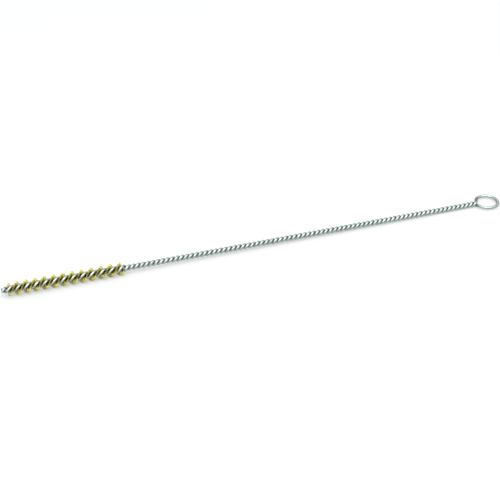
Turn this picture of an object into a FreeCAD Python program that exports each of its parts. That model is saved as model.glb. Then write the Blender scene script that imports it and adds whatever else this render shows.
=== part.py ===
import FreeCAD, Part
import math
import os
import Sketcher
from FreeCAD import Placement, Rotation, Vector

# Brass tip cleaning brush, twisted-in-wire.  One galvanised steel wire is folded in the middle into
# a hanging eye and its two legs are twisted together, left-handed, down to the tip.  Near the tip the
# legs clamp a layer of brass filaments, which the twist turns into a double spiral fin.
#
# Frame: millimetres, origin at the centre of the hanging eye, +X along the stem towards the tip,
# the eye flat in the XY plane, +Z up.  A station is a distance from the tip, measured towards the eye.

SIZES = (
    ("overall_length", 254.0, "tip to the far side of the eye"),
    ("wire_diameter", 1.4, "galvanised steel wire"),
    ("eye_inside_diameter", 10.0, "round end of the hanging eye"),
    ("neck_distance", 6.07, "eye centre to the place where the legs first cross"),
    ("first_shoulder", 62.0, "degrees from the stem to where the first leg's shoulder joins the round"),
    ("second_shoulder", 35.0, "the same on the second leg's side, which is rounder"),
    ("stem_pitch", 4.786, "length of one full turn of the legs in the stem and the nose"),
    ("leg_clearance", 0.03, "between the legs where they lie against each other"),
    ("nose_length", 3.0, "bare twisted wire between the tip and the filaments"),
    ("opening_lead", 0.5, "how far past the filaments the legs stay open"),
    ("opening_run", 1.2, "length over which the legs then close on each other"),
    ("brush_diameter", 6.35, "outside of the filaments"),
    ("tuft_count", 25, "quarter turns of filaments"),
    ("first_quarter_turn", 2.06, "length of the quarter turn nearest the tip"),
    ("quarter_turn_growth", 0.0117, "each quarter turn is longer than the one before it by this"),
    ("last_quarter_turn", 1.79, "the one at the stem, where the twist tightens again"),
    ("core_thickness", 0.64, "filament layer at the axis, between the legs"),
    ("rim_thickness", 1.2, "filament layer at the outside of the brush"),
    ("core_clearance", 0.04, "between the filament layer and each leg"),
    ("tuft_clearance", 0.04, "between neighbouring quarter turns"),
)

QUARTER_TURN = 90.0
POINTS_PER_TURN = 8
TURNS_PER_EDGE = 1
EYE_STEPS = 12
SHOULDER_STEPS = 4


def make_sheet(doc):
    """Put the driving sizes in a spreadsheet, one named cell each."""
    sheet = doc.addObject("Spreadsheet::Sheet", "Sizes")
    for row, (alias, value, note) in enumerate(SIZES, start=1):
        sheet.set(f"A{row}", alias)
        sheet.set(f"B{row}", str(value))
        sheet.set(f"C{row}", note)
        sheet.setAlias(f"B{row}", alias)
    doc.recompute()
    return sheet


def ease(fraction):
    """Smooth step from 0 to 1."""
    held = max(0.0, min(1.0, fraction))
    return held * held * (3.0 - 2.0 * held)


def closest_approach(offset, pitch):
    """Least distance between the centre lines of two opposite helices."""
    rise = pitch / (2.0 * math.pi)
    gaps = []
    for step in range(91):
        turn = math.radians(step)
        across = 2.0 * offset * offset * (1.0 + math.cos(turn))
        gaps.append(math.sqrt(across + (turn * rise) ** 2))
    return min(gaps)


class Twist:
    """Where the two legs of the wire are at each station."""

    def __init__(self, sheet):
        self.sheet = sheet
        self.wire_radius = sheet.wire_diameter / 2
        self.eye_radius = sheet.eye_inside_diameter / 2 + self.wire_radius
        self.tip = sheet.overall_length - self.eye_radius - self.wire_radius
        self.crossing = self.tip - sheet.neck_distance
        self.fill_ends = [sheet.nose_length]
        for index in range(int(sheet.tuft_count)):
            self.fill_ends.append(self.fill_ends[-1] + self.quarter_length(index))
        self.twisted_offset = self.touching_offset()
        self.filled_offset = self.wire_radius + sheet.core_thickness / 2 + sheet.core_clearance
        self.knots = self.make_knots()

    def quarter_length(self, index):
        """Length of a quarter turn in the filaments, counted from the tip."""
        if index == int(self.sheet.tuft_count) - 1:
            return self.sheet.last_quarter_turn
        return self.sheet.first_quarter_turn + index * self.sheet.quarter_turn_growth

    def quarter_expression(self, index):
        """The same length in terms of the sheet's cells."""
        if index == int(self.sheet.tuft_count) - 1:
            return "Sizes.last_quarter_turn"
        return f"(Sizes.first_quarter_turn + {index} * Sizes.quarter_turn_growth)"

    def touching_offset(self):
        """Distance of each leg from the axis when the legs lie against each other."""
        apart = self.sheet.wire_diameter + self.sheet.leg_clearance
        offset = apart / 2
        while closest_approach(offset, self.sheet.stem_pitch) < apart - 1e-6:
            offset += 0.001
        return offset

    def make_knots(self):
        """Pairs of station and angle in degrees; the first leg is on top at the crossing."""
        lead = self.sheet.opening_lead
        stem_rate = 4 * QUARTER_TURN / self.sheet.stem_pitch
        first_rate = QUARTER_TURN / self.quarter_length(0)
        last_rate = QUARTER_TURN / self.quarter_length(len(self.fill_ends) - 2)
        closed = self.fill_ends[-1] + lead
        closed_angle = QUARTER_TURN - (self.crossing - closed) * stem_rate
        knots = [(closed, closed_angle), (self.crossing, QUARTER_TURN)]
        for index, station in enumerate(reversed(self.fill_ends)):
            knots.insert(0, (station, closed_angle - lead * last_rate - index * QUARTER_TURN))
        knots.insert(0, (knots[0][0] - lead, knots[0][1] - lead * first_rate))
        bare = knots[0][0] + self.sheet.wire_diameter
        knots.insert(0, (knots[0][0] - bare, knots[0][1] - bare * stem_rate))
        return knots

    def station(self, angle):
        """Station where the first leg has this angle about the axis."""
        for (near, low), (far, high) in zip(self.knots, self.knots[1:]):
            if angle <= high:
                return near + (far - near) * (angle - low) / (high - low)
        return self.crossing

    def angle(self, station):
        """Angle of the first leg about the axis at this station, from +Y towards +Z."""
        for (near, low), (far, high) in zip(self.knots, self.knots[1:]):
            if station <= far:
                return low + (high - low) * (station - near) / (far - near)
        return QUARTER_TURN

    def offset(self, station):
        """Distance of each leg from the axis: more where the filaments are clamped."""
        run = self.sheet.opening_run
        lead = self.sheet.opening_lead
        opened = ease((station - self.fill_ends[0] + lead + run) / run)
        closed = ease((station - self.fill_ends[-1] - lead) / run)
        return self.twisted_offset + (self.filled_offset - self.twisted_offset) * (opened - closed)

    def leg_points(self):
        """Points along the first leg, from beyond the tip to the crossing."""
        first_angle = self.knots[0][1]
        steps = math.ceil((QUARTER_TURN - first_angle) * POINTS_PER_TURN / (4 * QUARTER_TURN))
        points = []
        for step in range(steps + 1):
            angle = first_angle + (QUARTER_TURN - first_angle) * step / steps
            station = self.station(angle)
            out = self.offset(station)
            turn = math.radians(angle)
            points.append(Vector(self.tip - station, out * math.cos(turn), out * math.sin(turn)))
        return points

    def shoulder_points(self, side, turn):
        """Points on the -Y or +Y side (-1 or 1) between the crossing and the round part of the eye."""
        crossing = Vector(self.sheet.neck_distance, 0, -side * self.twisted_offset)
        leaving = Vector(-self.sheet.stem_pitch / (2 * math.pi), side * self.twisted_offset, 0).normalize()
        touch = Vector(self.eye_radius * math.cos(turn), side * self.eye_radius * math.sin(turn), 0)
        arriving = Vector(-math.sin(turn), side * math.cos(turn), 0)
        pull = (touch - crossing).Length / 3
        curve = Part.BezierCurve()
        curve.setPoles([crossing, crossing + leaving * pull / 2, touch - arriving * pull, touch])
        return [curve.value(step / SHOULDER_STEPS) for step in range(1, SHOULDER_STEPS)]

    def eye_points(self):
        """Points round the eye: the first leg leaves the crossing towards -Y and comes round to +Y."""
        first = math.radians(self.sheet.first_shoulder)
        second = math.radians(self.sheet.second_shoulder)
        points = self.shoulder_points(-1, first)
        for step in range(EYE_STEPS + 1):
            turn = first + (2 * math.pi - first - second) * step / EYE_STEPS
            points.append(Vector(self.eye_radius * math.cos(turn), -self.eye_radius * math.sin(turn), 0))
        return points + list(reversed(self.shoulder_points(1, second)))


def make_wire_path(doc, twist):
    """Centre line of the whole wire as smooth edges, about one turn long each."""
    first_leg = twist.leg_points()
    second_leg = [Vector(point.x, -point.y, -point.z) for point in reversed(first_leg)]
    points = first_leg + twist.eye_points() + second_leg
    along = [0.0]
    for here, there in zip(points, points[1:]):
        along.append(along[-1] + (there - here).Length)
    curve = Part.BSplineCurve()
    curve.interpolate(Points=points, Parameters=along)
    cuts = along[:-1:POINTS_PER_TURN * TURNS_PER_EDGE] + [along[-1]]
    edges = [curve.toShape(start, end) for start, end in zip(cuts, cuts[1:])]
    path = doc.addObject("Part::Feature", "wire_path")
    path.Shape = Part.Wire(edges)
    return path, points[0], curve.tangent(along[0])[0]


def make_stem_wire(doc, twist):
    """The folded and twisted wire, cut off square at the tip."""
    path, start, direction = make_wire_path(doc, twist)
    section = doc.addObject("Part::Circle", "wire_section")
    section.setExpression("Radius", "Sizes.wire_diameter / 2")
    section.Placement = Placement(start, Rotation(Vector(0, 0, 1), direction))
    sweep = doc.addObject("Part::Sweep", "wire_sweep")
    sweep.Sections = [section]
    sweep.Spine = (path, [f"Edge{number + 1}" for number in range(len(path.Shape.Edges))])
    sweep.Solid = True
    sweep.Frenet = False
    trim = doc.addObject("Part::Box", "tip_trim")
    trim.setExpression("Length", "Sizes.wire_diameter * 4")
    trim.setExpression("Width", "Sizes.wire_diameter * 4")
    trim.setExpression("Height", "Sizes.wire_diameter * 4")
    corner = -2 * doc.Sizes.wire_diameter
    trim.Placement = Placement(Vector(twist.tip, corner, corner), Rotation())
    wire = doc.addObject("Part::Cut", "stem_wire")
    wire.Label = "stem_wire"
    wire.Base = sweep
    wire.Tool = trim
    return wire


def origin_plane(body, role):
    """One of the body's own origin planes."""
    return next(plane for plane in body.Origin.OriginFeatures if plane.Role == role)


def add_sketch(body, name, role):
    """A sketch on one of the body's origin planes."""
    sketch = body.newObject("Sketcher::SketchObject", name)
    sketch.AttachmentSupport = [(origin_plane(body, role), "")]
    sketch.MapMode = "FlatFace"
    return sketch


def bind(sketch, constraint, expression):
    """Add a size to a sketch and tie it to the sheet."""
    index = sketch.addConstraint(constraint)
    sketch.setExpression(f"Constraints[{index}]", expression)


def draw_tuft_section(sketch, sheet):
    """Bow tie: thin at the axis, thicker at the rim, with both ends on the brush's outer circle."""
    radius = sheet.brush_diameter / 2
    core = sheet.core_thickness / 2
    rim = sheet.rim_thickness / 2
    spread = math.asin(rim / radius)
    reach = radius * math.cos(spread)
    corners = [Vector(reach, rim, 0), Vector(0, core, 0), Vector(-reach, rim, 0),
               Vector(-reach, -rim, 0), Vector(0, -core, 0), Vector(reach, -rim, 0)]
    circle = Part.Circle(Vector(), Vector(0, 0, 1), radius)
    sketch.addGeometry(Part.LineSegment(corners[0], corners[1]))
    sketch.addGeometry(Part.LineSegment(corners[1], corners[2]))
    sketch.addGeometry(Part.ArcOfCircle(circle, math.pi - spread, math.pi + spread))
    sketch.addGeometry(Part.LineSegment(corners[3], corners[4]))
    sketch.addGeometry(Part.LineSegment(corners[4], corners[5]))
    sketch.addGeometry(Part.ArcOfCircle(circle, -spread, spread))
    for edge in range(6):
        sketch.addConstraint(Sketcher.Constraint("Coincident", edge, 2, (edge + 1) % 6, 1))
    sketch.addConstraint(Sketcher.Constraint("Coincident", 2, 3, -1, 1))
    sketch.addConstraint(Sketcher.Constraint("Coincident", 5, 3, -1, 1))
    sketch.addConstraint(Sketcher.Constraint("PointOnObject", 0, 2, -2))
    sketch.addConstraint(Sketcher.Constraint("PointOnObject", 3, 2, -2))
    sketch.addConstraint(Sketcher.Constraint("Equal", 2, 5))
    bind(sketch, Sketcher.Constraint("Radius", 2, radius), "Sizes.brush_diameter / 2")
    for above, size, alias in (((0, 2), core, "core"), ((0, 1), rim, "rim"), ((1, 2), rim, "rim")):
        bind(sketch, Sketcher.Constraint("DistanceY", -1, 1, *above, size), f"Sizes.{alias}_thickness / 2")
    for below, size, alias in (((3, 2), core, "core"), ((3, 1), rim, "rim"), ((4, 2), rim, "rim")):
        bind(sketch, Sketcher.Constraint("DistanceY", *below, -1, 1, size), f"Sizes.{alias}_thickness / 2")


def make_tuft(doc, twist, index):
    """One quarter turn of filaments: a bow tie carried along the axis and turned as it goes."""
    sheet = doc.Sizes
    number = f"{index + 1:02d}"
    quarter = twist.quarter_expression(index)
    length = twist.quarter_length(index) - sheet.tuft_clearance
    body = doc.addObject("PartDesign::Body", f"bristle_tuft_{number}")
    body.Label = f"bristle_tuft_{number}"
    section = add_sketch(body, f"tuft_section_{number}", "YZ_Plane")
    draw_tuft_section(section, sheet)
    axis = add_sketch(body, f"tuft_axis_{number}", "XY_Plane")
    axis.addGeometry(Part.LineSegment(Vector(), Vector(length, 0, 0)))
    axis.addConstraint(Sketcher.Constraint("Coincident", 0, 1, -1, 1))
    axis.addConstraint(Sketcher.Constraint("PointOnObject", 0, 2, -1))
    bind(axis, Sketcher.Constraint("DistanceX", 0, 1, 0, 2, length), f"{quarter} - Sizes.tuft_clearance")
    guide = doc.addObject("Part::Helix", f"twist_guide_{number}")
    guide.setExpression("Pitch", f"4 * {quarter}")
    guide.setExpression("Height", f"{quarter} - Sizes.tuft_clearance")
    guide.setExpression("Radius", "Sizes.brush_diameter")
    guide.LocalCoord = "Left-handed"
    guide.Placement = Placement(Vector(), Rotation(Vector(0, 1, 0), 90))
    pipe = body.newObject("PartDesign::AdditivePipe", f"tuft_{number}")
    pipe.Profile = (section, [""])
    pipe.Spine = (axis, ["Edge1"])
    pipe.Mode = "Auxiliary"
    pipe.AuxiliarySpine = (guide, ["Edge1"])
    pipe.AuxiliaryCurvilinear = True
    eye_side = twist.fill_ends[index + 1] - sheet.tuft_clearance / 2
    fin_angle = twist.angle(eye_side) + QUARTER_TURN
    body.Placement = Placement(Vector(twist.tip - eye_side, 0, 0), Rotation(Vector(1, 0, 0), fin_angle))
    return body


def check(doc, parts):
    """Stop before anything is written if an object failed or a solid is unsound."""
    for item in doc.Objects:
        if "Invalid" in item.State or "Error" in item.State:
            raise RuntimeError(f"{item.Name} failed: {item.State}")
    for part in parts:
        if part.Shape.isNull() or not part.Shape.isValid() or len(part.Shape.Solids) != 1:
            raise RuntimeError(f"{part.Label} is not one sound solid")


def main():
    """Build the brush and write one STEP file for each piece."""
    doc = FreeCAD.newDocument("TipCleaningBrush")
    twist = Twist(make_sheet(doc))
    parts = [make_stem_wire(doc, twist)]
    for index in range(int(doc.Sizes.tuft_count)):
        parts.append(make_tuft(doc, twist, index))
    doc.recompute()
    check(doc, parts)
    os.makedirs("parts", exist_ok=True)
    for part in parts:
        part.Shape.exportStep(f"parts/{part.Label}.step")
        print(part.Label, round(part.Shape.Volume, 2), part.Shape.optimalBoundingBox(False))


main()
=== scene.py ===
import enum
import logging
import math
import random
from collections.abc import Iterator
from dataclasses import dataclass, field

import bmesh
import bpy
from mathutils import Matrix, Vector, noise
from mathutils.geometry import interpolate_bezier


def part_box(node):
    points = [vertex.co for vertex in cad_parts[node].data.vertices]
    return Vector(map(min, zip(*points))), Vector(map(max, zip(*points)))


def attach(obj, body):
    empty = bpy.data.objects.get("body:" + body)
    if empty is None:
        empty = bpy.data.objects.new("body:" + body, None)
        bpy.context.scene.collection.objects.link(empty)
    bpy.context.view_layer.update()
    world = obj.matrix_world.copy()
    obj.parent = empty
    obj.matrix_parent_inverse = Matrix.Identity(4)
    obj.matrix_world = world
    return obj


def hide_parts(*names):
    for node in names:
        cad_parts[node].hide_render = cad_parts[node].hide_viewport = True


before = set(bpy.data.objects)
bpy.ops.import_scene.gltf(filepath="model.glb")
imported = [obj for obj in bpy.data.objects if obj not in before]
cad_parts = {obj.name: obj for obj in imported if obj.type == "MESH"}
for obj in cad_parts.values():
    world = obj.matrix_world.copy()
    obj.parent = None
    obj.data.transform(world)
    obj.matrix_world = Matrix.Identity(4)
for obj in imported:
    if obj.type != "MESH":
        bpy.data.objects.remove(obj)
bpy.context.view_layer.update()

# Brass tip cleaning brush.  One galvanised wire is folded into a hanging eye and twisted on itself,
# and near the tip its two legs clamp the brass filaments.  Metres, origin at the centre of the eye,
# +X to the tip, +Z up.  A station is a distance from the tip, measured along the axis to the eye.

MM = 0.001
FULL_TURN = math.tau
QUARTER_TURN = FULL_TURN / 4
SEED = 29

log = logging.getLogger("tip_brush")


def ease(fraction: float) -> float:
    """Smooth step from 0 to 1.

    Args:
        fraction: Place along the step, held between 0 and 1.

    Returns:
        The eased value.
    """
    held = max(0.0, min(1.0, fraction))
    return held * held * (3.0 - 2.0 * held)


class Slot(enum.Enum):
    """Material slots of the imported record."""

    WIRE = "galvanised_wire"
    BRASS = "brass_filament"


class Channel:
    """A shader socket that takes part in Python arithmetic."""

    def __init__(self, kit: "NodeKit", socket: bpy.types.NodeSocket) -> None:
        """Wrap an output socket of a node kit."""
        self.kit = kit
        self.socket = socket

    def _maths(self, operation: str, first: "Channel | float", second: "Channel | float") -> "Channel":
        """Add a Math node and return its result."""
        return self.kit.add("ShaderNodeMath", {"operation": operation}, {0: first, 1: second})

    def __add__(self, other: "Channel | float") -> "Channel":
        """Sum."""
        return self._maths("ADD", self, other)

    def __rsub__(self, other: "Channel | float") -> "Channel":
        """Difference from a number."""
        return self._maths("SUBTRACT", other, self)

    def __mul__(self, other: "Channel | float") -> "Channel":
        """Product."""
        return self._maths("MULTIPLY", self, other)


class NodeKit:
    """Builds the nodes of one material or of the room."""

    def __init__(self, owner: bpy.types.Material | bpy.types.World) -> None:
        """Start with an empty node tree.

        Args:
            owner: What the nodes belong to.
        """
        owner.use_nodes = True
        self.owner = owner
        self.tree = owner.node_tree
        self.tree.nodes.clear()

    def add(self, kind: str, settings: dict | None = None, inputs: dict | None = None,
            output: int | str = 0) -> Channel | None:
        """Add a node: its settings first, then its socket values and links.

        Args:
            kind: Node type.
            settings: Node properties, and "stops" for a colour ramp.
            inputs: Socket name or index to a value or a Channel.
            output: Which output to return.

        Returns:
            The chosen output, or None for a node that has none.
        """
        node = self.tree.nodes.new(kind)
        for key, value in (settings or {}).items():
            if key == "stops":
                self._set_stops(node.color_ramp, value)
            else:
                setattr(node, key, value)
        for key, value in (inputs or {}).items():
            if isinstance(value, Channel):
                self.tree.links.new(value.socket, node.inputs[key])
            else:
                node.inputs[key].default_value = value
        return Channel(self, node.outputs[output]) if node.outputs else None

    @staticmethod
    def _set_stops(ramp: bpy.types.ColorRamp, stops: list[tuple[float, tuple]]) -> None:
        """Give a colour ramp its stops.

        Args:
            ramp: The ramp.
            stops: Place and colour of each stop.
        """
        while len(ramp.elements) < len(stops):
            ramp.elements.new(1.0)
        for element, (place, colour) in zip(ramp.elements, stops):
            element.position = place
            element.color = colour

    def attribute(self, name: str, output: str = "Vector") -> Channel:
        """Read one of the mesh's own attributes."""
        return self.add("ShaderNodeAttribute", {"attribute_name": name}, output=output)

    def noise(self, place: Channel, scale: float, detail: float = 2.0, roughness: float = 0.5) -> Channel:
        """Cloudy noise at a place.

        Args:
            place: Where it is read.
            scale: Waves per unit of place.
            detail: Octaves.
            roughness: Strength of the fine octaves.

        Returns:
            A value of about 0 to 1.
        """
        return self.add("ShaderNodeTexNoise", {}, {"Vector": place, "Scale": scale, "Detail": detail,
                                                   "Roughness": roughness})

    def stretch(self, place: Channel, scale: tuple[float, float, float]) -> Channel:
        """Scale a place differently along each axis."""
        return self.add("ShaderNodeMapping", {}, {"Vector": place, "Scale": scale})

    def remap(self, value: Channel, low: float, high: float, to_low: float = 0.0,
              to_high: float = 1.0) -> Channel:
        """Carry one range of a value onto another, held at both ends.

        Args:
            value: What is carried over.
            low: Start of its range.
            high: End of its range.
            to_low: What the start becomes.
            to_high: What the end becomes.

        Returns:
            The new value.
        """
        return self.add("ShaderNodeMapRange", {"clamp": True},
                        {0: value, 1: low, 2: high, 3: to_low, 4: to_high})

    def mix(self, share: Channel, first: "Channel | tuple", second: "Channel | tuple") -> Channel:
        """Mix two colours.

        Args:
            share: How much of the second colour.
            first: First colour.
            second: Second colour.

        Returns:
            The mixed colour.
        """
        return self.add("ShaderNodeMix", {"data_type": "RGBA"}, {0: share, 6: first, 7: second}, 2)

    def surface(self, inputs: dict) -> bpy.types.Material:
        """Close the material with a Principled surface.

        Args:
            inputs: Its sockets.

        Returns:
            The finished material.
        """
        shader = self.add("ShaderNodeBsdfPrincipled", {}, inputs)
        self.add("ShaderNodeOutputMaterial", {}, {"Surface": shader})
        return self.owner


@dataclass(frozen=True)
class GalvanisedFinish:
    """Zinc-coated drawn steel: mottled grey-white, with fine drawing lines along the wire."""

    bright: tuple = (0.48, 0.53, 0.515, 1.0)
    dull: tuple = (0.30, 0.345, 0.33, 1.0)
    stain: tuple = (0.18, 0.21, 0.20, 1.0)
    edge: tuple = (0.18, 0.20, 0.195, 1.0)
    smooth: float = 0.18
    rough: float = 0.34
    mottle_waves: tuple = (0.5, 1.2, 1.2)
    spangle_waves: tuple = (1.6, 3.0, 3.0)
    line_waves: tuple = (0.35, 14.0, 14.0)
    stain_waves: tuple = (0.22, 0.9, 0.9)
    dull_range: tuple = (0.62, 0.92)
    stain_range: tuple = (0.60, 0.74)
    most_stain: float = 0.45
    relief: float = 0.22
    relief_depth: float = 0.02 * MM

    def material(self) -> bpy.types.Material:
        """Build the finish from the place along and around the straight wire, in millimetres.

        Returns:
            The material.
        """
        kit = NodeKit(bpy.data.materials.new("galvanised_wire"))
        place = kit.attribute("unbent")
        mottle = kit.noise(kit.stretch(place, self.mottle_waves), 1.0, detail=4.0, roughness=0.6)
        spangle = kit.noise(kit.stretch(place, self.spangle_waves), 1.0)
        lines = kit.noise(kit.stretch(place, self.line_waves), 1.0, detail=3.0, roughness=0.65)
        dulled = kit.remap(mottle + spangle * 0.5, *self.dull_range)
        colour = kit.mix(dulled, self.bright, self.dull)
        stains = kit.noise(kit.stretch(place, self.stain_waves), 1.0, detail=5.0, roughness=0.7)
        stained = kit.remap(stains, *self.stain_range, 0.0, self.most_stain)
        colour = kit.mix(stained, colour, self.stain)
        roughness = kit.remap(mottle * 0.6 + lines * 0.4, 0.3, 0.7, self.smooth, self.rough)
        height = lines * 0.6 + spangle * 0.4
        bump = kit.add("ShaderNodeBump", {}, {"Strength": self.relief, "Distance": self.relief_depth,
                                                "Height": height})
        return kit.surface({"Base Color": colour, "Metallic": 1.0, "Roughness": roughness, "Normal": bump,
                            "Specular Tint": self.edge})


@dataclass(frozen=True)
class BrassFinish:
    """Fine drawn brass wire: each filament a little different, with painted shade darkening it towards the
    core.
    """

    pale: tuple = (0.71, 0.67, 0.27, 1.0)
    deep: tuple = (0.60, 0.54, 0.12, 1.0)
    # Dark brown of the painted shade where the filaments meet the wire core.
    painted_core_shade: tuple = (0.26, 0.18, 0.03, 1.0)
    smooth: float = 0.22
    rough: float = 0.40
    cloud_waves: float = 1500.0
    streak_waves: tuple = (9000.0, 2500.0, 2500.0)
    tone_range: tuple = (0.4, 1.1)
    painted_shade_range: tuple = (0.45, 0.80)
    most_painted_shade: float = 0.8
    relief: float = 0.15
    relief_depth: float = 0.004 * MM

    def material(self) -> bpy.types.Material:
        """Build the finish from each filament's tone and the distance along it, 1 at its cut ends.

        Returns:
            The material.
        """
        kit = NodeKit(bpy.data.materials.new("brass_filament"))
        tone = kit.attribute("tone", "Fac")
        reach = kit.attribute("reach", "Fac")
        place = kit.add("ShaderNodeTexCoord", output="Object")
        cloud = kit.noise(place, self.cloud_waves, detail=3.0, roughness=0.6)
        colour = kit.mix(kit.remap(tone * 0.5 + cloud, *self.tone_range), self.pale, self.deep)
        # Painted shade: filaments turn dark brown towards the core, where the legs and neighbouring filaments
        # shade them.
        painted_shade = kit.remap(cloud * 0.3 + (1.0 - reach), *self.painted_shade_range, 0.0, self.most_painted_shade)
        colour = kit.mix(painted_shade, colour, self.painted_core_shade)
        roughness = kit.remap(tone * 0.5 + cloud * 0.5, 0.2, 0.8, self.smooth, self.rough)
        streaks = kit.noise(kit.stretch(place, self.streak_waves), 1.0)
        bump = kit.add("ShaderNodeBump", {}, {"Strength": self.relief, "Distance": self.relief_depth,
                                              "Height": streaks})
        return kit.surface({"Base Color": colour, "Metallic": 1.0, "Roughness": roughness, "Normal": bump})


@dataclass(frozen=True)
class FloorFinish:
    """Plain pale table top, faintly lit from below."""

    colour: tuple = (0.36, 0.36, 0.36, 1.0)
    glow: float = 1.03
    cloud_waves: float = 3.0
    smooth: float = 0.85
    rough: float = 0.95
    shine: float = 0.1

    def material(self) -> bpy.types.Material:
        """Build the finish.

        Returns:
            The material.
        """
        kit = NodeKit(bpy.data.materials.new("pale_floor"))
        place = kit.add("ShaderNodeTexCoord", output="Object")
        cloud = kit.noise(place, self.cloud_waves)
        roughness = kit.remap(cloud, 0.3, 0.7, self.smooth, self.rough)
        return kit.surface({"Base Color": self.colour, "Roughness": roughness,
                            "Specular IOR Level": self.shine,
                            "Emission Color": self.colour, "Emission Strength": self.glow})


@dataclass
class Twist:
    """Where the two legs of the wire are at each station.

    The tip, the eye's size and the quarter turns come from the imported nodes' boxes.  Offsets are from the
    axis to a leg's centre, and the shoulders are angles round the eye from +X.
    """

    wire_radius: float = 0.7 * MM
    neck_distance: float = 6.07 * MM
    first_shoulder: float = math.radians(62.0)
    second_shoulder: float = math.radians(35.0)
    stem_pitch: float = 4.786 * MM
    twisted_offset: float = 0.715 * MM
    filled_offset: float = 1.06 * MM
    opening_lead: float = 0.5 * MM
    opening_run: float = 1.2 * MM
    tip: float = field(init=False)
    eye_radius: float = field(init=False)
    fill_ends: list[float] = field(init=False)
    knots: list[tuple[float, float]] = field(init=False)

    def __post_init__(self) -> None:
        """Take the tip, the eye and the quarter turns from the frame."""
        low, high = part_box("stem_wire")
        self.tip = high.x
        self.eye_radius = -low.x - self.wire_radius
        boxes = [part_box(name) for name in tuft_nodes()]
        self.fill_ends = [self.tip - boxes[0][1].x]
        for near, far in zip(boxes, boxes[1:]):
            self.fill_ends.append(self.tip - (near[0].x + far[1].x) / 2)
        self.fill_ends.append(self.tip - boxes[-1][0].x)
        self.knots = self._make_knots()

    def _make_knots(self) -> list[tuple[float, float]]:
        """Stations where the twist changes its rate; the first leg is on top where the legs cross.

        Returns:
            Pairs of station and angle, from beyond the tip to the crossing.
        """
        ends = self.fill_ends
        lead = self.opening_lead
        crossing = self.tip - self.neck_distance
        stem_rate = FULL_TURN / self.stem_pitch
        first_rate = QUARTER_TURN / (ends[1] - ends[0])
        last_rate = QUARTER_TURN / (ends[-1] - ends[-2])
        closed_angle = QUARTER_TURN - (crossing - ends[-1] - lead) * stem_rate
        knots = [(ends[-1] + lead, closed_angle), (crossing, QUARTER_TURN)]
        for index, station in enumerate(reversed(ends)):
            knots.insert(0, (station, closed_angle - lead * last_rate - index * QUARTER_TURN))
        knots.insert(0, (knots[0][0] - lead, knots[0][1] - lead * first_rate))
        bare = knots[0][0] + 2 * self.wire_radius
        knots.insert(0, (knots[0][0] - bare, knots[0][1] - bare * stem_rate))
        return knots

    def station(self, angle: float) -> float:
        """Station where the first leg has this angle about the axis.

        Args:
            angle: Angle from +Y towards +Z, in radians.

        Returns:
            The station.
        """
        for (near, low), (far, high) in zip(self.knots, self.knots[1:]):
            if angle <= high:
                return near + (far - near) * (angle - low) / (high - low)
        return self.knots[-1][0]

    def angle(self, station: float) -> float:
        """Angle of the first leg about the axis at a station.

        Args:
            station: Distance from the tip.

        Returns:
            The angle from +Y towards +Z, in radians.
        """
        for (near, low), (far, high) in zip(self.knots, self.knots[1:]):
            if station <= far:
                return low + (high - low) * (station - near) / (far - near)
        return QUARTER_TURN

    def offset(self, station: float) -> float:
        """Distance of each leg from the axis: more where the filaments are clamped.

        Args:
            station: Distance from the tip.

        Returns:
            The distance.
        """
        opened = ease((station - self.fill_ends[0] + self.opening_lead + self.opening_run) / self.opening_run)
        closed = ease((station - self.fill_ends[-1] - self.opening_lead) / self.opening_run)
        return self.twisted_offset + (self.filled_offset - self.twisted_offset) * (opened - closed)

    def leg_line(self, step: float) -> list[Vector]:
        """Centre line of the first leg, from beyond the tip to the crossing.

        Args:
            step: Turn between points, in radians.

        Returns:
            The points.
        """
        start = self.knots[0][1]
        count = math.ceil((QUARTER_TURN - start) / step)
        line = []
        for index in range(count + 1):
            angle = start + (QUARTER_TURN - start) * index / count
            station = self.station(angle)
            out = self.offset(station)
            line.append(Vector((self.tip - station, out * math.cos(angle), out * math.sin(angle))))
        return line

    def shoulder_line(self, side: float, turn: float, count: int) -> list[Vector]:
        """Centre line between the crossing and the round part of the eye, on one side.

        Args:
            side: -1 for the -Y side, where the first leg goes, or 1 for the +Y side.
            turn: Angle round the eye, from +X, where the round part begins.
            count: How many points.

        Returns:
            The points, without either end.
        """
        crossing = Vector((self.neck_distance, 0.0, -side * self.twisted_offset))
        leaving = Vector((-self.stem_pitch / FULL_TURN, side * self.twisted_offset, 0.0)).normalized()
        touch = self.eye_radius * Vector((math.cos(turn), side * math.sin(turn), 0.0))
        arriving = Vector((-math.sin(turn), side * math.cos(turn), 0.0))
        pull = (touch - crossing).length / 3
        return interpolate_bezier(crossing, crossing + leaving * pull / 2, touch - arriving * pull, touch,
                                  count + 2)[1:-1]

    def eye_line(self, shoulder_points: int, arc_points: int) -> list[Vector]:
        """Centre line round the eye, between the two legs' last points.

        Args:
            shoulder_points: Points on each side between the crossing and the round part.
            arc_points: Points round the round part.

        Returns:
            The points, without the crossing itself.
        """
        arc = []
        sweep = FULL_TURN - self.first_shoulder - self.second_shoulder
        for index in range(arc_points + 1):
            turn = self.first_shoulder + sweep * index / arc_points
            arc.append(self.eye_radius * Vector((math.cos(turn), -math.sin(turn), 0.0)))
        leaving = self.shoulder_line(-1.0, self.first_shoulder, shoulder_points)
        coming = self.shoulder_line(1.0, self.second_shoulder, shoulder_points)
        return leaving + arc + list(reversed(coming))


def half_turned(point: Vector) -> Vector:
    """The same place on the other leg: a half turn about the brush's axis."""
    return Vector((point.x, -point.y, -point.z))


def tuft_nodes() -> list[str]:
    """Names of the CAD's quarter turns of filaments, from the tip to the stem."""
    return sorted(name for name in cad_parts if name.startswith("bristle_tuft_"))


BRUSH_RADIUS = max(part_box(name)[1].y for name in tuft_nodes())


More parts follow.
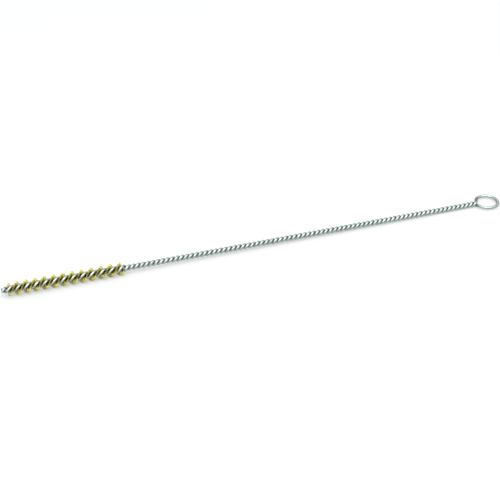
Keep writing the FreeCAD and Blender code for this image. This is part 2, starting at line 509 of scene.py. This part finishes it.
def make_piece(name: str, bm: bmesh.types.BMesh, material: bpy.types.Material, slot: Slot,
               node: str) -> bpy.types.Object:
    """Turn a bmesh into a piece of the brush that stands for a CAD node.

    Args:
        name: Name of the piece.
        bm: Its mesh, freed here.
        material: Its finish.
        slot: Not used.
        node: The CAD node that it replaces.

    Returns:
        The object.
    """
    mesh = bpy.data.meshes.new(name)
    bm.to_mesh(mesh)
    bm.free()
    mesh.materials.append(material)
    piece = bpy.data.objects.new(name, mesh)
    bpy.context.scene.collection.objects.link(piece)
    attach(piece, "root")
    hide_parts(node)
    log.info("%s: %d faces for %s", name, len(mesh.polygons), node)
    return piece


@dataclass
class StemWire:
    """The whole wire: nose, brush core, stem, neck and eye."""

    twist: Twist
    sides: int = 16
    rings_per_turn: int = 24
    shoulder_points: int = 16
    arc_points: int = 64
    cut_bevel: float = 0.07 * MM
    weld: float = 0.001 * MM

    def centre_line(self) -> list[Vector]:
        """Points along the wire, from one cut end round the eye to the other.

        Returns:
            The points.
        """
        leg = self.twist.leg_line(FULL_TURN / self.rings_per_turn)
        back = [half_turned(point) for point in reversed(leg)]
        return leg + self.twist.eye_line(self.shoulder_points, self.arc_points) + back

    def ring_frames(self, line: list[Vector]) -> Iterator[tuple[Matrix, float]]:
        """Carry a frame along the wire without letting it turn about the wire.

        Args:
            line: Centre line.

        Yields:
            Each point's frame, with Z along the wire, and its distance along the wire.
        """
        before = (line[1] - line[0]).normalized()
        turned = before.to_track_quat("Z", "Y")
        along = 0.0
        for index, point in enumerate(line):
            here = (line[min(index + 1, len(line) - 1)] - line[max(index - 1, 0)]).normalized()
            turned = before.rotation_difference(here) @ turned
            before = here
            if index:
                along += (point - line[index - 1]).length
            yield Matrix.Translation(point) @ turned.to_matrix().to_4x4(), along

    def build_mesh(self) -> bmesh.types.BMesh:
        """Roll a flat strip round the centre line, then cut both ends off square to the brush.

        Returns:
            The mesh of the wire.
        """
        frames = list(self.ring_frames(self.centre_line()))
        rows = len(frames) - 1
        bm = bmesh.new()
        unbent = bm.verts.layers.float_vector.new("unbent")
        bmesh.ops.create_grid(bm, x_segments=self.sides, y_segments=rows, size=0.5)
        for vert in bm.verts:
            place, along = frames[round((vert.co.y + 0.5) * rows)]
            turn = FULL_TURN * (vert.co.x + 0.5)
            local = self.twist.wire_radius * Vector((math.cos(turn), math.sin(turn), 0.0))
            vert[unbent] = Vector((along, local.x, local.y)) / MM
            vert.co = place @ local
        bmesh.ops.remove_doubles(bm, verts=bm.verts, dist=self.weld)
        for face in bm.faces:
            face.smooth = True
        self._cut_ends(bm)
        bmesh.ops.recalc_face_normals(bm, faces=bm.faces)
        return bm

    def _cut_ends(self, bm: bmesh.types.BMesh) -> None:
        """Trim the two legs at the tip, close them and ease their rims.

        Args:
            bm: Mesh of the wire, changed here.
        """
        everything = list(bm.verts) + list(bm.edges) + list(bm.faces)
        bmesh.ops.bisect_plane(bm, geom=everything, dist=self.weld, plane_co=(self.twist.tip, 0.0, 0.0),
                               plane_no=(1.0, 0.0, 0.0), clear_outer=True)
        rims = [edge for edge in bm.edges if edge.is_boundary]
        caps = bmesh.ops.holes_fill(bm, edges=rims, sides=0)["faces"]
        rims = [edge for cap in caps for edge in cap.edges]
        bmesh.ops.bevel(bm, geom=rims, offset=self.cut_bevel, segments=2, profile=0.5, affect="EDGES",
                        material=-1)

    def build(self) -> bpy.types.Object:
        """Build and dress the wire."""
        return make_piece("twisted_wire", self.build_mesh(), GalvanisedFinish().material(), Slot.WIRE,
                          "stem_wire")


@dataclass
class Tuft:
    """One quarter turn of brass filaments that cross the axis between the legs."""

    twist: Twist
    node: str
    start: float
    end: float
    keep: float = 1.0
    filament_radius: float = 0.065 * MM
    layers: int = 5
    layer_step: float = 0.115 * MM
    row_step: float = 0.146 * MM
    rim_spread: float = 2.2
    stray: float = 0.10 * MM
    row_jitter: float = 0.1
    angle_jitter: float = 0.02
    trim_jitter: float = 0.10
    side_clumps_per_mm: float = 0.9
    lean_clumps_per_mm: float = 0.7
    side_clump_share: float = 1.6
    lean_clump_share: float = 2.0
    side_own_share: float = 0.5
    lean_own_share: float = 0.7
    ends_apart: float = 7.0
    lean_layer: float = 31.0

    def build_mesh(self, template: bpy.types.Mesh, dice: random.Random) -> bmesh.types.BMesh:
        """Lay the filaments in rows between the legs and fan their ends out.

        Args:
            template: One straight filament of unit size along Z.
            dice: Seeded random numbers.

        Returns:
            The mesh of the whole tuft.
        """
        bm = bmesh.new()
        tone = bm.verts.layers.float.new("tone")
        reach = bm.verts.layers.float.new("reach")
        rows = max(1, int((self.end - self.start) / self.row_step))
        for layer in range(self.layers):
            depth = (layer - (self.layers - 1) / 2) * self.layer_step
            for row in range(rows):
                if dice.random() > self.keep:
                    continue
                jitter = dice.uniform(-self.row_jitter, self.row_jitter)
                share = (row + 0.5 * (layer % 2) + 0.25 + jitter) / rows
                station = self.start + (self.end - self.start) * share
                self._lay(bm, template, dice, station, depth, (tone, reach))
        for face in bm.faces:
            face.smooth = True
        return bm

    def _lay(self, bm: bmesh.types.BMesh, template: bpy.types.Mesh, dice: random.Random, station: float,
             depth: float, layers: tuple) -> None:
        """Add one filament.

        Args:
            bm: Mesh of the tuft.
            template: One straight filament.
            dice: Seeded random numbers.
            station: Where it crosses the axis.
            depth: Its distance from the middle of the filament layer.
            layers: The mesh layers for tone and reach.
        """
        first = len(bm.verts)
        bm.from_mesh(template)
        bm.verts.ensure_lookup_table()
        angle = self.twist.angle(station) + QUARTER_TURN + dice.gauss(0.0, self.angle_jitter)
        out = Vector((0.0, math.cos(angle), math.sin(angle)))
        across = Vector((0.0, -math.sin(angle), math.cos(angle)))
        tone = dice.random()
        ends = {side: self._end(dice, station, side) for side in (-1.0, 1.0)}
        for index in range(first, len(bm.verts)):
            vert = bm.verts[index]
            local = vert.co.copy()
            length, sideways, lean = ends[math.copysign(1.0, local.z)]
            share = abs(local.z)
            fan = depth * (1.0 + (self.rim_spread - 1.0) * share) + sideways * share ** 2
            vert.co = (Vector((self.twist.tip - station + lean * share ** 2 + local.x * self.filament_radius,
                               0.0, 0.0))
                       + out * (local.z * length) + across * (fan + local.y * self.filament_radius))
            vert[layers[0]] = tone
            vert[layers[1]] = share

    def _clump(self, along: float, side: float, layer: float) -> float:
        """Smooth noise that neighbouring filaments share, different at each end."""
        return noise.noise(Vector((along, side * self.ends_apart, layer)))

    def _end(self, dice: random.Random, station: float, side: float) -> tuple[float, float, float]:
        """How one end of a filament lies.

        Args:
            dice: Seeded random numbers.
            station: Where the filament crosses the axis.
            side: Which end, -1 or 1.

        Returns:
            Its length from the axis, and how far its end strays sideways and along the brush.
        """
        side_clump = self._clump(station / MM * self.side_clumps_per_mm, side, 0.0)
        lean_clump = self._clump(station / MM * self.lean_clumps_per_mm, side, self.lean_layer)
        sideways = self.stray * (side_clump * self.side_clump_share + dice.gauss(0.0, self.side_own_share))
        lean = self.stray * (lean_clump * self.lean_clump_share + dice.gauss(0.0, self.lean_own_share))
        reach = BRUSH_RADIUS - dice.uniform(0.0, self.trim_jitter) * MM
        drift = abs(sideways) + self.rim_spread * self.layer_step * (self.layers - 1) / 2
        return math.sqrt(reach ** 2 - drift ** 2), sideways, lean

    def build(self, template: bpy.types.Mesh, material: bpy.types.Material,
              dice: random.Random) -> bpy.types.Object:
        """Build and dress the tuft.

        Args:
            template: One straight filament.
            material: The brass.
            dice: Seeded random numbers.

        Returns:
            The tuft.
        """
        name = self.node.replace("bristle_tuft", "filaments")
        return make_piece(name, self.build_mesh(template, dice), material, Slot.BRASS, self.node)


@dataclass
class BrushHead:
    """All the filaments, a tuft for each of the CAD's quarter turns."""

    twist: Twist
    sides: int = 5
    bends: int = 5
    ragged_keep: float = 0.6

    def make_template(self) -> bpy.types.Mesh:
        """One straight filament of unit radius and unit half length along Z.

        Returns:
            Its mesh.
        """
        bm = bmesh.new()
        bmesh.ops.create_cone(bm, cap_ends=True, segments=self.sides, radius1=1.0, radius2=1.0, depth=2.0)
        long_edges = [edge for edge in bm.edges if abs(edge.verts[0].co.z - edge.verts[1].co.z) > 1.0]
        bmesh.ops.subdivide_edges(bm, edges=long_edges, cuts=self.bends, use_grid_fill=True)
        bmesh.ops.recalc_face_normals(bm, faces=bm.faces)
        mesh = bpy.data.meshes.new("one_filament")
        bm.to_mesh(mesh)
        bm.free()
        return mesh

    def build(self) -> list[bpy.types.Object]:
        """Build every quarter turn.

        Returns:
            The tufts, from the tip to the stem.
        """
        dice = random.Random(SEED)
        template = self.make_template()
        brass = BrassFinish().material()
        nodes = tuft_nodes()
        ends = self.twist.fill_ends
        pieces = []
        for index, node in enumerate(nodes):
            keep = self.ragged_keep if index in (0, len(nodes) - 1) else 1.0
            tuft = Tuft(self.twist, node, ends[index], ends[index + 1], keep)
            pieces.append(tuft.build(template, brass, dice))
        bpy.data.meshes.remove(template)
        return pieces


@dataclass
class Studio:
    """Pale table, soft lights and the camera."""

    azimuth: float = 161.9
    elevation: float = 34.4
    distance: float = 0.588
    target: Vector = field(default_factory=lambda: Vector((128.6, 3.92, 0.0)) * MM)
    lens: float = 87.8
    floor_size: float = 6.0
    floor_gap: float = 0.02 * MM
    horizon: tuple = (0.12, 0.14, 0.13, 1.0)
    ceiling: tuple = (0.95, 1.0, 0.99, 1.0)
    ceiling_height: float = 0.42
    room_strength: float = 1.4
    sensor_width: float = 36.0
    nearest: float = 0.01
    overhead_place: tuple = (0.15, 0.35, 1.0)
    overhead_size: tuple = (1.2, 1.0)
    overhead_power: float = 9.1
    fill_place: tuple = (1.2, 0.6, 0.9)
    fill_size: tuple = (0.6, 0.6)
    fill_power: float = 1.4

    def build_floor(self, twist: Twist) -> bpy.types.Object:
        """Table top that the last filaments and the first strands beside the eye both touch.

        Args:
            twist: Where the legs are.

        Returns:
            The table top.
        """
        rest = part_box(tuft_nodes()[-1])[0]
        drop = -twist.twisted_offset - twist.wire_radius - rest.z
        slope = math.atan2(drop, rest.x - twist.neck_distance)
        bm = bmesh.new()
        under = Matrix.Translation((rest.x, 0.0, rest.z - self.floor_gap))
        place = under @ Matrix.Rotation(slope, 4, "Y")
        bmesh.ops.create_grid(bm, x_segments=1, y_segments=1, size=self.floor_size / 2, matrix=place)
        mesh = bpy.data.meshes.new("floor")
        bm.to_mesh(mesh)
        bm.free()
        mesh.materials.append(FloorFinish().material())
        floor = bpy.data.objects.new("floor", mesh)
        bpy.context.scene.collection.objects.link(floor)
        return floor

    def build_camera(self) -> bpy.types.Object:
        """Camera that looks at the brush from beside and above its tip.

        Returns:
            The camera.
        """
        azimuth, elevation = math.radians(self.azimuth), math.radians(self.elevation)
        back = Vector((math.sin(azimuth) * math.cos(elevation), -math.cos(azimuth) * math.cos(elevation),
                       math.sin(elevation)))
        data = bpy.data.cameras.new("camera")
        data.lens = self.lens
        data.sensor_width = self.sensor_width
        data.clip_start = self.nearest
        camera = bpy.data.objects.new("camera", data)
        camera.location = self.target + back * self.distance
        camera.rotation_euler = (-back).to_track_quat("-Z", "Y").to_euler()
        bpy.context.scene.collection.objects.link(camera)
        bpy.context.scene.camera = camera
        return camera

    def add_panel(self, name: str, place: tuple, size: tuple, power: float) -> bpy.types.Object:
        """Soft box that faces the middle of the brush.

        Args:
            name: Name of the light.
            place: Its centre, in metres.
            size: Its width and height.
            power: Its power in watts.

        Returns:
            The light.
        """
        data = bpy.data.lights.new(name, "AREA")
        data.shape = "RECTANGLE"
        data.size, data.size_y = size
        data.energy = power
        light = bpy.data.objects.new(name, data)
        light.location = Vector(place)
        light.rotation_euler = (self.target - light.location).to_track_quat("-Z", "Y").to_euler()
        bpy.context.scene.collection.objects.link(light)
        return light

    def build_lights(self) -> None:
        """One broad light overhead, one softer from the camera's left, and a pale room."""
        self.add_panel("overhead", self.overhead_place, self.overhead_size, self.overhead_power)
        self.add_panel("left_fill", self.fill_place, self.fill_size, self.fill_power)
        kit = NodeKit(bpy.data.worlds.new("room"))
        direction = kit.add("ShaderNodeTexCoord", output="Generated")
        height = kit.add("ShaderNodeSeparateXYZ", {}, {"Vector": direction}, "Z")
        colour = kit.mix(kit.remap(height, 0.0, self.ceiling_height), self.horizon, self.ceiling)
        background = kit.add("ShaderNodeBackground", {}, {"Color": colour, "Strength": self.room_strength})
        kit.add("ShaderNodeOutputWorld", {}, {"Surface": background})
        bpy.context.scene.world = kit.owner
        bpy.context.scene.view_settings.view_transform = "Standard"

    def build(self, twist: Twist) -> None:
        """Build the studio round the brush.

        Args:
            twist: Where the legs are.
        """
        self.build_floor(twist)
        self.build_lights()
        self.build_camera()


def main() -> None:
    """Build the brush and its studio."""
    logging.basicConfig(level=logging.INFO, format="%(message)s")
    twist = Twist()
    StemWire(twist).build()
    BrushHead(twist).build()
    Studio().build(twist)


if __name__ == "__main__":
    main()
